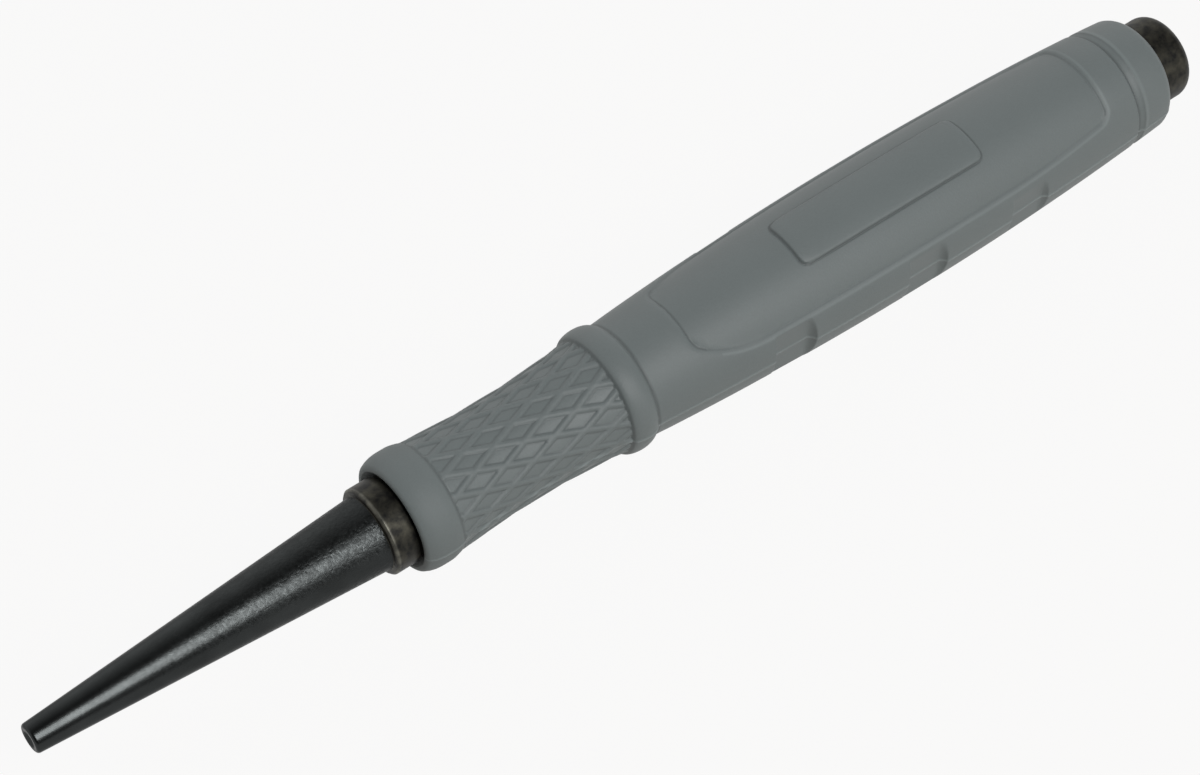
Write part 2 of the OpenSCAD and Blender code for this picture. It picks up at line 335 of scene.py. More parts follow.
def turned_points(stations, radii, angles, datum):
    """Points of a turned surface.

    X is the station less the datum, and the angle runs from +Z towards +Y.
    """
    x = np.broadcast_to((stations - datum)[:, None], radii.shape)
    return np.stack([x, radii * np.sin(angles), radii * np.cos(angles)], axis=-1)


def grid_piece(name, points, closed, materials, zones=None):
    """A mesh from a grid of points: rows run along the tool, and columns go round it and close.

    The last row joins the first where closed is true. Otherwise each end row is drawn together into
    one point. The zones give each row of faces its material.
    """
    rows, columns = points.shape[:2]
    index = np.arange(rows * columns).reshape(rows, columns)
    index = np.concatenate([index, index[:, :1]], axis=1)
    if closed:
        index = np.concatenate([index, index[:1]], axis=0)
    corners = [index[:-1, :-1], index[:-1, 1:], index[1:, 1:], index[1:, :-1]]
    quads = np.stack(corners, axis=-1).reshape(-1, 4)
    vertices = points.reshape(-1, 3)
    faces = quads.tolist()
    if not closed:
        middles = [points[0].mean(axis=0)[None], points[-1].mean(axis=0)[None]]
        vertices = np.concatenate([vertices, *middles])
        first, last = rows * columns, rows * columns + 1
        faces += [[first, index[0, j + 1], index[0, j]] for j in range(columns)]
        faces += [[last, index[-1, j], index[-1, j + 1]] for j in range(columns)]
    mesh = bpy.data.meshes.new(name)
    mesh.from_pydata(vertices.tolist(), [], faces)
    mesh.shade_smooth()
    mesh.set_sharp_from_angle(angle=SHARP_ANGLE)
    for material in materials:
        mesh.materials.append(material)
    if zones is not None:
        slots = np.repeat(zones, columns)
        slots = np.concatenate([slots, np.full(len(faces) - len(slots), zones[-1])])
        slots[len(quads) : len(quads) + columns] = zones[0]
        mesh.polygons.foreach_set("material_index", slots.astype(np.int32))
    mesh.update()
    piece = bpy.data.objects.new(name, mesh)
    bpy.context.collection.objects.link(piece)
    return piece


def grip_front(steel):
    """Station of the grip's front face."""
    return steel.nose_length + steel.collar_length


def collar_middle(steel):
    """Station of the frame's origin, in the middle of the collar's straight part."""
    return (steel.nose_length + steel.shoulder_bevel + grip_front(steel)) / 2


class GripStations:
    """Where the grip's zones start, measured from the face of the tip."""

    def __init__(self, steel, grip):
        self.front = grip_front(steel)
        self.waist = self.front + grip.lip_length
        self.ring = self.waist + grip.waist_length
        self.barrel = self.ring + grip.ring_length
        self.groove = self.barrel + grip.barrel_length
        self.tail = self.groove + grip.groove_width
        self.end = self.tail + grip.tail_length
        self.panel = self.barrel + grip.panel_start
        self.panel_end = self.groove - grip.panel_end_gap
        self.plate = self.panel + grip.plate_start
        self.plate_end = self.plate + grip.plate_length
        self.scoops = [self.barrel + start for start in grip.scoop_starts]


def waist_radius(x, at, grip):
    """A hollow arc, lowest a set distance behind the front of the waist."""
    low = at.waist + grip.waist_low
    return grip.waist_diameter / 2 + grip.waist_bow - np.sqrt(grip.waist_bow**2 - (x - low) ** 2)


def barrel_radius(x, at, grip):
    """A swelling arc, highest a set distance behind the ring."""
    high = at.barrel + grip.barrel_high
    return grip.barrel_diameter / 2 - grip.barrel_bow + np.sqrt(grip.barrel_bow**2 - (x - high) ** 2)


def grip_radius(x, at, grip):
    """The grip's turned profile.

    The lip drops towards its face by a power of the distance, and an S step leads down to the
    waist's arc. The ring stands on the join of waist and barrel, a quarter ellipse in front and a
    gentler curve behind. The groove drops by an S step over a share of its width and rises by a
    parabola, and quarter circles round the outer corners of both ends.
    """
    lip_power, ring_rear_power, groove_wall_share = 2.5, 0.7, 0.3
    toward_face = np.clip(1.0 - (x - at.front) / grip.lip_run, 0.0, 1.0)
    lip = grip.lip_diameter / 2 - grip.lip_drop * toward_face**lip_power
    step = smooth(at.waist - grip.lip_fade, at.waist, x)
    radius = lip + (waist_radius(x, at, grip) - lip) * step
    half_ring = grip.ring_length / 2
    middle = at.ring + half_ring
    radius = np.where(x < middle, radius, barrel_radius(x, at, grip))
    join = (waist_radius(middle, at, grip) + barrel_radius(middle, at, grip)) / 2
    rise = smooth(at.ring - half_ring / 4, at.ring, x)
    radius = radius + (join - radius) * rise * smooth(-at.barrel - half_ring, -at.barrel, -x)
    ahead = np.clip((x - middle) / half_ring, -1.0, 1.0)
    dome = np.where(ahead < 0, np.sqrt(1.0 - ahead**2), (1.0 - ahead**2) ** ring_rear_power)
    radius = radius + grip.ring_height * dome
    for place, depth in (
        (at.waist, grip.fine_crease),
        (at.ring, grip.ring_crease),
        (at.barrel - grip.crease_width, grip.fine_crease),
    ):
        radius = radius - depth * np.exp(-(((x - place) / grip.crease_width) ** 2))
    across = np.clip((x - at.groove) / grip.groove_width, 0.0, 1.0)
    radius = radius - grip.groove_depth * smooth(0.0, groove_wall_share, across) * (1.0 - across**2)
    front = np.clip(1.0 - (x - at.front) / grip.lip_corner, 0.0, 1.0)
    tail = np.clip(1.0 - (at.end - x) / grip.tail_corner, 0.0, 1.0)
    radius = radius - grip.lip_corner * (1.0 - np.sqrt(1.0 - front**2))
    return radius - grip.tail_corner * (1.0 - np.sqrt(1.0 - tail**2))


def pocket_relief(x, angle, at, grip):
    """Depth of the diamond pockets.

    The sum and the difference of the place along the waist, in pitches, and round it, in columns,
    are whole at each pocket's centre. The distance to the nearer half-way line, in millimetres, then
    gives land, wall or floor.
    """
    along = (x - at.waist - grip.pocket_start) / grip.pocket_pitch
    around = angle / (2 * math.pi) * grip.pocket_columns - grip.pocket_shift
    column_width = 2 * math.pi * waist_radius(x, at, grip) / grip.pocket_columns
    spacing = 1.0 / np.hypot(1.0 / column_width, 1.0 / grip.pocket_pitch)
    offsets = [np.abs(value - np.round(value)) for value in (along + around, along - around)]
    inside = (0.5 - np.maximum(*offsets)) * spacing - grip.pocket_land / 2
    floor = moulded_step(inside, grip.pocket_wall, grip.pocket_wall)
    behind_lip = smooth(at.waist, at.waist + grip.pocket_fade, x)
    before_ring = smooth(-at.ring, -at.ring + grip.pocket_fade, -x)
    return -grip.pocket_depth * floor * behind_lip * before_ring


def panel_relief(x, angle, at, grip):
    """Depth of both panels and height of the bare plate.

    Each is an S step over the distance inside its outline: two rounded front corners, two rear ones
    and straight sides, all measured along the barrel's surface.
    """
    rim_share = 0.5
    radius = barrel_radius(x, at, grip)
    from_middle = np.minimum(np.abs(angle), math.pi - np.abs(angle))
    drawn = np.clip((x - at.panel_end) / grip.panel_taper_length + 1.0, 0.0, 1.0) ** 2
    inward = radius * (grip.panel_angle - from_middle) - grip.panel_taper * drawn
    front, rear = grip.panel_front_radius, grip.panel_rear_radius
    ahead = np.minimum(x - at.panel - grip.panel_front_run, 0.0)
    front_corner = front - np.hypot(ahead, np.maximum(front - inward, 0.0))
    front_corner = np.where(inward > front, inward, front_corner)
    behind = np.maximum(x - at.panel_end + rear, 0.0)
    rear_corner = rear - np.hypot(behind, np.maximum(rear - inward, 0.0))
    inside = soft_least(np.minimum(front_corner, rear_corner), x - at.panel, grip.panel_blend)
    sunk = -grip.panel_depth * moulded_step(inside, grip.panel_rim, grip.panel_wall, rim_share)
    corner = grip.plate_corner
    past_side = np.abs(radius * angle) - grip.plate_width / 2 + corner
    past_end = np.abs(x - (at.plate + at.plate_end) / 2) - grip.plate_length / 2 + corner
    outside = np.hypot(np.maximum(past_side, 0.0), np.maximum(past_end, 0.0)) - corner
    raised = grip.plate_height * (1.0 - moulded_step(outside, grip.plate_rim, grip.plate_wall))
    return sunk + raised


def cut_scoops(radius, x, angle, at, grip):
    """Lowers the radius to each scoop's flat floor.

    The floor is a plane that steps in, runs level and curves up and out. A soft minimum rounds the
    edge between the plane and the barrel. The plane's slant is limited where it is out of reach.
    """
    least_cosine, onset = 0.2, 0.1
    soft = grip.scoop_edge
    off_side = np.abs(np.abs(angle) - math.pi / 2)
    for start, depth in zip(at.scoops, grip.scoop_depths):
        run = x - start
        up = np.clip((run - grip.scoop_length) / grip.scoop_ramp + 1.0, 0.0, 1.0)
        dip = smooth(0.0, grip.scoop_step, run) * (1.0 - up**2)
        level = barrel_radius(x, at, grip) - depth * dip
        plane = level / np.maximum(np.cos(off_side), least_cosine)
        blend = np.clip(0.5 + (plane - radius) / (2 * soft), 0.0, 1.0)
        lowered = plane + (radius - plane) * blend - soft * blend * (1.0 - blend)
        radius = np.where(dip > 0, radius + (lowered - radius) * smooth(0.0, onset, dip), radius)
    return radius


def add_seam(radius, x, angle, at, grip):
    """Raises the parting line on both sides, a bell curve across that fades out at both ends."""
    from_seam = radius * (np.abs(angle) - math.pi / 2)
    ridge = grip.seam_height * np.exp(-((from_seam / grip.seam_width) ** 2))
    behind_face = smooth(at.front, at.front + grip.lip_run / 2, x)
    return radius + ridge * behind_face * smooth(-at.end, -at.end + grip.tail_corner, -x)


def add_node(tree, kind, inputs=None, **settings):
    """Adds a node, sets its settings, and gives each input a value or another node's output."""
    node = tree.nodes.new(kind)
    for key, value in settings.items():
        setattr(node, key, value)
    for socket, value in (inputs or {}).items():
        if isinstance(value, bpy.types.NodeSocket):
            tree.links.new(value, node.inputs[socket])
        else:
            node.inputs[socket].default_value = value
    return node


class Field:
    """A number that a material works out at each point, whose operators are math nodes."""

    def __init__(self, tree, socket):
        self.tree = tree
        self.socket = socket

    def math(self, operation, *others):
        """One math node on this number and the others."""
        inputs = {0: self.socket}
        for place, other in enumerate(others, start=1):
            inputs[place] = getattr(other, "socket", other)
        node = add_node(self.tree, "ShaderNodeMath", inputs, operation=operation)
        return Field(self.tree, node.outputs[0])

    def __add__(self, other):
        return self.math("ADD", other)

    def __sub__(self, other):
        return self.math("SUBTRACT", other)

    def __mul__(self, other):
        return self.math("MULTIPLY", other)

    def __neg__(self):
        return self * -1.0

    def __abs__(self):
        return self.math("ABSOLUTE")

    def hypot(self, other):
        """The long side of a right triangle on this number and the other."""
        return (self * self + other * other).math("SQRT")

    def line(self, place, half_width):
        """1 where the number is at the place, falling in an S to 0 at the half width on both sides."""
        off = abs(self - place).math("DIVIDE", half_width)
        inputs = {"Value": off.socket, "To Min": 1.0, "To Max": 0.0}
        node = add_node(self.tree, "ShaderNodeMapRange", inputs, interpolation_type="SMOOTHSTEP")
        return Field(self.tree, node.outputs[0])


def greatest(fields):
    """The greatest of several fields at each point."""
    most, *others = fields
    for other in others:
        most = most.math("MAXIMUM", other)
    return most


def new_material(name):
    """A material with an empty node tree, its tree, and Object coordinates."""
    material = bpy.data.materials.new(name)
    material.use_nodes = True
    tree = material.node_tree
    tree.nodes.clear()
    place = add_node(tree, "ShaderNodeTexCoord").outputs["Object"]
    return material, tree, place


def show(tree, shader):
    """Sends a shader to the material's output."""
    add_node(tree, "ShaderNodeOutputMaterial", {"Surface": shader.outputs[0]})


def station_of(tree, place, steel):
    """Each point's station, from the face of the tip."""
    axes = add_node(tree, "ShaderNodeSeparateXYZ", {0: place})
    return Field(tree, axes.outputs["X"]) + collar_middle(steel)


def angle_of(tree, place):
    """Each point's angle round the axis, from +Z towards +Y."""
    axes = add_node(tree, "ShaderNodeSeparateXYZ", {0: place})
    return Field(tree, axes.outputs["Y"]).math("ARCTAN2", axes.outputs["Z"])


def rgba(values):
    """A colour with full alpha."""
    return (*values, 1.0)


def shade(values, factor):
    """A lighter or darker copy of a colour, with full alpha."""
    return rgba([min(v * factor, 1.0) for v in values])


def panel_distance(x, angle, at, grip):
    """How far inside a panel's outline a point lies, as in panel_relief."""
    around = abs(angle).math("MINIMUM", -abs(angle) + math.pi)
    drawn = ((x - at.panel_end) * (1.0 / grip.panel_taper_length) + 1.0).math("MAXIMUM", 0.0)
    along_surface = -(around - grip.panel_angle) * (grip.barrel_diameter / 2)
    inward = along_surface - drawn * drawn * grip.panel_taper
    front, rear = grip.panel_front_radius, grip.panel_rear_radius
    ahead = (x - at.panel - grip.panel_front_run).math("MINIMUM", 0.0)
    front_corner = -ahead.hypot((-inward + front).math("MAXIMUM", 0.0)) + front
    deep = inward.math("GREATER_THAN", front)
    front_corner = front_corner + (inward - front_corner) * deep
    behind = (x - at.panel_end + rear).math("MAXIMUM", 0.0)
    rear_corner = -behind.hypot((-inward + rear).math("MAXIMUM", 0.0)) + rear
    nearer = front_corner.math("MINIMUM", rear_corner)
    return nearer.math("SMOOTH_MIN", x - at.panel, grip.panel_blend)


def plate_distance(x, angle, at, grip):
    """How far outside the plate's outline a point lies, as in panel_relief."""
    corner = grip.plate_corner
    side = abs(angle * (grip.barrel_diameter / 2)) - (grip.plate_width / 2 - corner)
    end = abs(x - (at.plate + at.plate_end) / 2) - (grip.plate_length / 2 - corner)
    return side.math("MAXIMUM", 0.0).hypot(end.math("MAXIMUM", 0.0)) - corner


def pocket_distance(x, angle, at, grip):
    """How far inside the nearest pocket's outline a point lies, as in pocket_relief.

    The waist counts as a cylinder here, a little wider than its smallest size.
    """
    mean_diameter = grip.waist_diameter + 0.6 * MM
    along = (x - (at.waist + grip.pocket_start)) * (1.0 / grip.pocket_pitch)
    around = angle * (grip.pocket_columns / (2 * math.pi)) - grip.pocket_shift
    column_width = math.pi * mean_diameter / grip.pocket_columns
    spacing = 1.0 / math.hypot(1.0 / column_width, 1.0 / grip.pocket_pitch)
    offsets = [abs(value - value.math("ROUND")) for value in (along + around, along - around)]
    return -(greatest(offsets) - 0.5) * spacing - grip.pocket_land / 2


def painted_corner_shade(x, angle, pocket, panel, on_waist, at, grip):
    """How much painted shade the rubber's inner corners get, from 0 to 1.

    Where a wall meets a floor the mould leaves a sharp corner, which keeps light out. That shade is
    painted into the colour: a line runs along the foot of each wall and round each crease, wider where it
    is darker.
    """
    foot_width, plate_foot_width = 0.22 * MM, 0.25 * MM
    pocket_strength, side_strength, front_strength = 0.5, 0.25, 0.75
    least_width, widening, groove_foot = 0.15 * MM, 0.22 * MM, 0.3 * MM
    at_front = x.math("LESS_THAN", at.panel + grip.panel_rear_radius)
    panel_strength = at_front * (front_strength - side_strength) + side_strength
    upper = abs(angle).math("LESS_THAN", math.pi / 2)
    corners = [
        pocket.line(grip.pocket_wall, foot_width) * on_waist * pocket_strength,
        panel.line(grip.panel_wall, foot_width) * panel_strength,
        plate_distance(x, angle, at, grip).line(grip.plate_wall, plate_foot_width) * upper,
    ]
    for station, strength in (
        (at.waist, 0.8),
        (at.ring, 0.45),
        (at.barrel + grip.crease_width / 2, 1.0),
        (at.groove + groove_foot, 1.0),
        (at.groove + 0.9 * grip.groove_width, 0.25),
    ):
        corners.append(x.line(station, least_width + widening * strength) * strength)
    return greatest(corners)


def painted_edge_highlights(x, angle, panel, at, grip):
    """How much painted highlight the rubber's outer edges get, from 0 to 1.

    The panels' rims and the groove's rear rim get painted highlights where they would catch the
    lamps, and the parting line, a thread of flash, is drawn paler along its length.
    """
    seam_strength, rim_strength, groove_strength = 0.8, 0.38, 0.35
    rim_place, rim_width, groove_rim_width = -0.3 * MM, 0.28 * MM, 0.35 * MM
    from_seam = (abs(angle) - math.pi / 2) * (grip.barrel_diameter / 2)
    behind_front = x.math("GREATER_THAN", at.panel + 2 * grip.panel_rear_radius)
    return greatest(
        [
            from_seam.line(0.0, 2 * grip.seam_width) * seam_strength,
            panel.line(rim_place, rim_width) * behind_front * rim_strength,
            x.line(at.tail + grip.groove_width / 4, groove_rim_width) * groove_strength,
        ]
    )


def rubber_material(steel, grip):
    """Thermoplastic rubber moulded in a spark-eroded tool.

    It is matte, with a fine even grain, painted shade in its sharp inner corners, painted highlights
    on its rims and a paler parting line.
    """
    material, tree, place = new_material("TPE, moulded with a spark-eroded grain")
    cloud_size, grain_size = 7 * MM, 0.22 * MM
    grain_height, corner_depth = 0.018 * MM, 0.05 * MM
    roughness, lip_dullness, floor_sheen, corner_shade_darkness = 0.52, 0.1, 0.05, 0.6
    at = GripStations(steel, grip)
    x, angle = station_of(tree, place, steel), angle_of(tree, place)
    on_waist = x.math("GREATER_THAN", at.waist) * x.math("LESS_THAN", at.ring)
    pocket = pocket_distance(x, angle, at, grip)
    panel = panel_distance(x, angle, at, grip)
    # corner holds lines of painted shade along the inner corners and creases, which also deepen them a
    # little as a bump
    corner = painted_corner_shade(x, angle, pocket, panel, on_waist, at, grip)
    edge_highlights = painted_edge_highlights(x, angle, panel, at, grip)
    # The real grain is about 0.05 mm, too fine for the render, so it is drawn coarser
    cloud, grain = (
        add_node(tree, "ShaderNodeTexNoise", {"Vector": place, "Scale": 1 / size, "Detail": 2.0})
        for size in (cloud_size, grain_size)
    )
    # Each layer mixes a lighter or darker shade of the rubber over the ones before it
    tone = shade(grip.rubber_colour, 0.95)
    for share, factor in (
        (cloud.outputs[0], 1.05),
        (grain.outputs[0], 1.12),
        # Painted shade in the inner corners and creases
        ((corner * corner_shade_darkness).socket, 0.5),
        # Painted highlights on the rims, and a paler parting line
        (edge_highlights.socket, 1.6),
    ):
        layer = {MIX_SHARE: share, MIX_FROM: tone, MIX_TO: shade(grip.rubber_colour, factor)}
        tone = add_node(tree, "ShaderNodeMix", layer, data_type="RGBA").outputs[MIX_RESULT]
    height = Field(tree, grain.outputs[0]) * grain_height - corner * corner_depth
    relief = {"Height": height.socket, "Strength": 1.0, "Distance": 1.0}
    bump = add_node(tree, "ShaderNodeBump", relief)
    # The lip is the dullest, and the pockets' floors, which no hand rubs, keep the mould's sheen
    floors = pocket.math("GREATER_THAN", grip.pocket_wall) * on_waist
    rough = x.math("LESS_THAN", at.waist) * lip_dullness - floors * floor_sheen + roughness
    finish = {"Base Color": tone, "Roughness": rough.socket, "IOR": 1.45, "Normal": bump.outputs[0]}
    show(tree, add_node(tree, "ShaderNodeBsdfPrincipled", finish))
    return material


def nose_material(steel):
    """Steel ground to a taper and blackened in hot oxide.

    It is near black, sleek at the tip and speckled towards the shoulder.
    """
    material, tree, place = new_material("Steel, ground and black oxide")
    speck_size, speck_height, cloud_size = 0.35 * MM, 0.045 * MM, 3 * MM
    tip_roughness, shoulder_roughness, speck_roughness = 0.28, 0.37, 0.5
    share = station_of(tree, place, steel) * (1.0 / steel.nose_length)
    speck, cloud = (
        add_node(tree, "ShaderNodeTexNoise", {"Vector": place, "Scale": 1 / size, "Detail": detail})
        for size, detail in ((speck_size, 2.0), (cloud_size, 3.0))
    )
    dark, light = shade(steel.nose_colour, 0.7), shade(steel.nose_colour, 1.5)
    tones = {MIX_SHARE: cloud.outputs[0], MIX_FROM: dark, MIX_TO: light}
    tone = add_node(tree, "ShaderNodeMix", tones, data_type="RGBA").outputs[MIX_RESULT]
    # The tip is ground finer than the shoulder, so its highlight is narrower and brighter
    coarse = (Field(tree, speck.outputs[0]) - 0.5) * share
    rough = share * (shoulder_roughness - tip_roughness) + coarse * speck_roughness + tip_roughness
    height = coarse * speck_height
    relief = {"Height": height.socket, "Strength": 1.0, "Distance": 1.0}
    bump = add_node(tree, "ShaderNodeBump", relief)
    finish = {
        "Base Color": tone,
        "Metallic": 1.0,
        "Roughness": rough.socket,
        "Specular Tint": rgba(steel.nose_edge_tint),
        "Normal": bump.outputs[0],
    }
    show(tree, add_node(tree, "ShaderNodeBsdfPrincipled", finish))
    return material


def bar_material(steel):
    """Bar stock left with its black heat-treatment scale.

    It is dull, with a brown bloom, and a broken painted highlight along its front edge.
    """
    material, tree, place = new_material("Steel, black heat-treatment scale")
    mottle_size, pit_size, pit_height = 1.1 * MM, 0.3 * MM, 0.03 * MM
    highlight_width, highlight_start, highlight_gain = 0.28 * MM, 0.2, 1.3
    pattern = {"Vector": place, "Scale": 1 / mottle_size, "Detail": 4.0, "Roughness": 0.55}
    mottle = add_node(tree, "ShaderNodeTexNoise", pattern)
    stretch = {"Value": mottle.outputs[0], "From Min": 0.36, "From Max": 0.7}
    spread = add_node(tree, "ShaderNodeMapRange", stretch)
    # A painted highlight along the bevel's outer edge, broken up by the mottle
    front_edge = steel.nose_length + steel.shoulder_bevel
    highlight_breakup = (Field(tree, mottle.outputs[0]) - highlight_start) * highlight_gain
    edge_highlights = station_of(tree, place, steel).line(front_edge, highlight_width) * highlight_breakup
    tone = rgba(steel.bar_colour)
    for share, over in ((spread.outputs[0], steel.bar_tint), (edge_highlights.socket, steel.edge_highlight_colour)):
        layer = {MIX_SHARE: share, MIX_FROM: tone, MIX_TO: rgba(over)}
        tone = add_node(tree, "ShaderNodeMix", layer, data_type="RGBA").outputs[MIX_RESULT]
    pattern = {"Vector": place, "Scale": 1 / pit_size, "Detail": 2.0}
    pits = add_node(tree, "ShaderNodeTexNoise", pattern)
    relief = {"Height": pits.outputs[0], "Strength": 0.3, "Distance": pit_height}
    bump = add_node(tree, "ShaderNodeBump", relief)
    finish = {"Base Color": tone, "Metallic": 0.85, "Roughness": 0.5, "Normal": bump.outputs[0]}
    show(tree, add_node(tree, "ShaderNodeBsdfPrincipled", finish))
    return material


class MESH_OT_steel_punch(bpy.types.Operator):
    """Builds the steel punch as one turned surface"""

    bl_idname = "mesh.steel_punch"
    bl_label = "Steel punch"
    bl_options = {"REGISTER", "UNDO"}

    def profile(self, steel, at):
        """Stations and radii from the bottom of the cup to the middle of the struck face.

        The cup's bottom is a parabola, quarter ellipses round the tip and the head, and small arcs
        soften the turned edges between them.
        """
        near_axis, longest_leg, cup_points, edge_points = 0.02 * MM, 0.6 * MM, 8, 7
        bar, tang = steel.bar_diameter / 2, steel.bar_diameter / 2 - steel.tang_relief
        tip, cup = steel.tip_diameter / 2, steel.cup_diameter / 2
        end = at.end + steel.head_length
        dish = np.linspace(near_axis, cup, cup_points)
        hollow = np.stack([steel.cup_depth * (1.0 - (dish / cup) ** 2), dish], axis=1)
        edge = steel.tip_edge_radius
        tip_edge = quarter_turn(0.0, tip - edge, edge, edge)
        corners = np.array(
            [
                tip_edge[-1],
                (steel.nose_length, steel.nose_base_diameter / 2),
                (steel.nose_length, bar - steel.shoulder_bevel),
                (steel.nose_length + steel.shoulder_bevel, bar),
                (at.front, bar),
                (at.front, tang),
                (at.end, tang),
                (at.end, bar),
                (end - steel.head_edge_radius, bar),
            ]
        )
        sides = rounded_path(corners, steel.edge_radius, edge_points)
        edge = steel.head_edge_radius
        head_edge = quarter_turn(end, bar - edge, -edge, edge)[::-1]
        path = np.concatenate([hollow, tip_edge[:-1], sides[:-1], head_edge, [[end, near_axis]]])
        return divided(path, longest_leg)

    def execute(self, context):
        """Turns the punch's profile, and gives the nose and the bar their own finishes."""
        columns = 160
        steel, grip = context.scene.steel, context.scene.grip
        path = self.profile(steel, GripStations(steel, grip))
        angles = np.linspace(-math.pi, math.pi, columns, endpoint=False)[None]
        radii = np.repeat(path[:, 1:], columns, axis=1)
        points = turned_points(path[:, 0], radii, angles, collar_middle(steel))
        middles = (path[1:, 0] + path[:-1, 0]) / 2
        zones = (middles > steel.nose_length - steel.edge_radius).astype(int)
        finishes = [nose_material(steel), bar_material(steel)]
        piece = grid_piece("steel_punch_turned", points, False, finishes, zones)
        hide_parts("steel_punch")
        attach(piece, "root")
        return {"FINISHED"}


class MESH_OT_soft_grip(bpy.types.Operator):
    """Builds the moulded grip as one closed surface"""

    bl_idname = "mesh.soft_grip"
    bl_label = "Soft grip"
    bl_options = {"REGISTER", "UNDO"}

    def stations(self, at, grip):
        """Stations along the outside, close together on the pockets and across each edge."""
        sharp, firm, soft, slope = 0.12 * MM, 0.15 * MM, 0.25 * MM, 0.3 * MM
        lip_spacing, ring_spacing, barrel_spacing = 0.5 * MM, 0.17 * MM, 1.3 * MM
        lip_points, waist_points, tail_points = 6, 118, 10
        overlap, scoop_bend = 0.5 * MM, 0.6 * MM
        lip = at.front + grip.lip_corner
        waist, ring = at.waist + overlap / 2, at.ring - overlap
        barrel, tail = at.barrel + 2 * overlap, at.end - grip.tail_corner
        lip_edges = [(at.waist - grip.lip_fade, slope), (at.waist, firm)]
        edges = [(at.panel, soft), (at.panel_end, soft), (at.plate, firm), (at.plate_end, firm)]
        edges += [(at.groove, sharp), (at.groove + grip.groove_width / 2, slope), (at.tail, sharp)]
        # The panels' front corners bend in over 6 mm, and their rear ones over 3 mm
        edges += [(at.panel + 3 * MM, 2 * MM), (at.panel_end - 1.5 * MM, 1 * MM)]
        for start in at.scoops:
            end = start + grip.scoop_length
            edges += [(start + grip.scoop_step / 2, grip.scoop_step / 2)]
            edges += [(end, sharp), (end - grip.scoop_ramp, scoop_bend)]
        return np.concatenate(
            [
                quarter(at.front, lip, lip_points),
                fanned(lip, waist, lip_spacing, lip_edges),
                np.linspace(waist, ring, waist_points, endpoint=False),
                fanned(ring, barrel, ring_spacing, [(at.ring, sharp)]),
                fanned(barrel, tail, barrel_spacing, edges),
                at.end - quarter(0.0, grip.tail_corner, tail_points)[::-1],
            ]
        )

    def angles(self, x, at, grip):
        """Angles on each row.

        They fan out across the edges of panels, plate and seam on the barrel, and are even on the
        waist but for the seam.
        """
        edge_width, spacing, seam_width, seam_weight = 0.25 * MM, 2.0, 2.5, 2.5
        radius = grip.barrel_diameter / 2
        side, edge = math.degrees(grip.panel_angle), math.degrees(edge_width / radius)
        plate = math.degrees(grip.plate_width / 2 / radius)
        seam = math.degrees(grip.seam_width / radius)
        edges = [(place, edge) for place in (-180.0 + side, -side, side, 180.0 - side)]
        edges += [(place, edge / 2) for place in (-plate, plate)]
        edges += [(place, seam) for place in (-90.0, 90.0)]
        barrel = fanned(-180.0, 180.0, spacing, edges)
        waist = crowded(-180.0, 180.0, len(barrel), (-90.0, 90.0), seam_width, seam_weight)[:-1]
        behind = smooth(at.ring, at.barrel, x)[:, None]
        return np.radians(waist + (barrel - waist) * behind)

    def execute(self, context):
        """Works out the outside as a radius over station and angle, and closes it through the bore."""
        bore_points = 5
        steel, grip = context.scene.steel, context.scene.grip
        at = GripStations(steel, grip)
        x = self.stations(at, grip)
        angle = self.angles(x, at, grip)
        along = x[:, None]
        columns = angle.shape[1]
        radius = np.repeat(grip_radius(x, at, grip)[:, None], columns, axis=1)
        radius = radius + pocket_relief(along, angle, at, grip)
        radius = radius + panel_relief(along, angle, at, grip)
        radius = cut_scoops(radius, along, angle, at, grip)
        radius = add_seam(radius, along, angle, at, grip)
        bar, tang = steel.bar_diameter / 2, steel.bar_diameter / 2 - steel.tang_relief
        corners = np.array(
            [
                (at.end, radius[-1].mean()),
                (at.end, tang),
                (at.front + grip.mouth_bevel + steel.tang_relief, tang),
                (at.front, bar + grip.mouth_bevel),
                (at.front, radius[0].mean()),
            ]
        )
        inner = rounded_path(corners, grip.bore_corner, bore_points)[1:-1]
        x = np.concatenate([x, inner[:, 0]])
        radius = np.concatenate([radius, np.repeat(inner[:, 1:], columns, axis=1)])
        angle = np.concatenate([angle, np.repeat(angle[:1], len(inner), axis=0)])
        points = turned_points(x, radius, angle, collar_middle(steel))
        piece = grid_piece("soft_grip_moulded", points, True, [rubber_material(steel, grip)])
        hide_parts("soft_grip")
        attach(piece, "root")
        return {"FINISHED"}


def view_axes(stage):
    """The picture's right, up and back directions, and its up before the roll.

    The camera leans from the upper panel towards the near side, swings towards the tip, and rolls
    until the tool rises across the picture by the picture's slope.
    """
    lean, swing, slope = stage.camera_lean, stage.camera_swing, stage.picture_slope
    along = Vector((1.0, 0.0, 0.0))
    facing = Vector((0.0, -math.sin(lean), math.cos(lean)))
    over = Vector((0.0, math.cos(lean), math.sin(lean)))
    back = facing * math.cos(swing) - along * math.sin(swing)
    level = along * math.cos(swing) + facing * math.sin(swing)
    right = level * math.cos(slope) - over * math.sin(slope)
    up = level * math.sin(slope) + over * math.cos(slope)
    return right, up, back, over


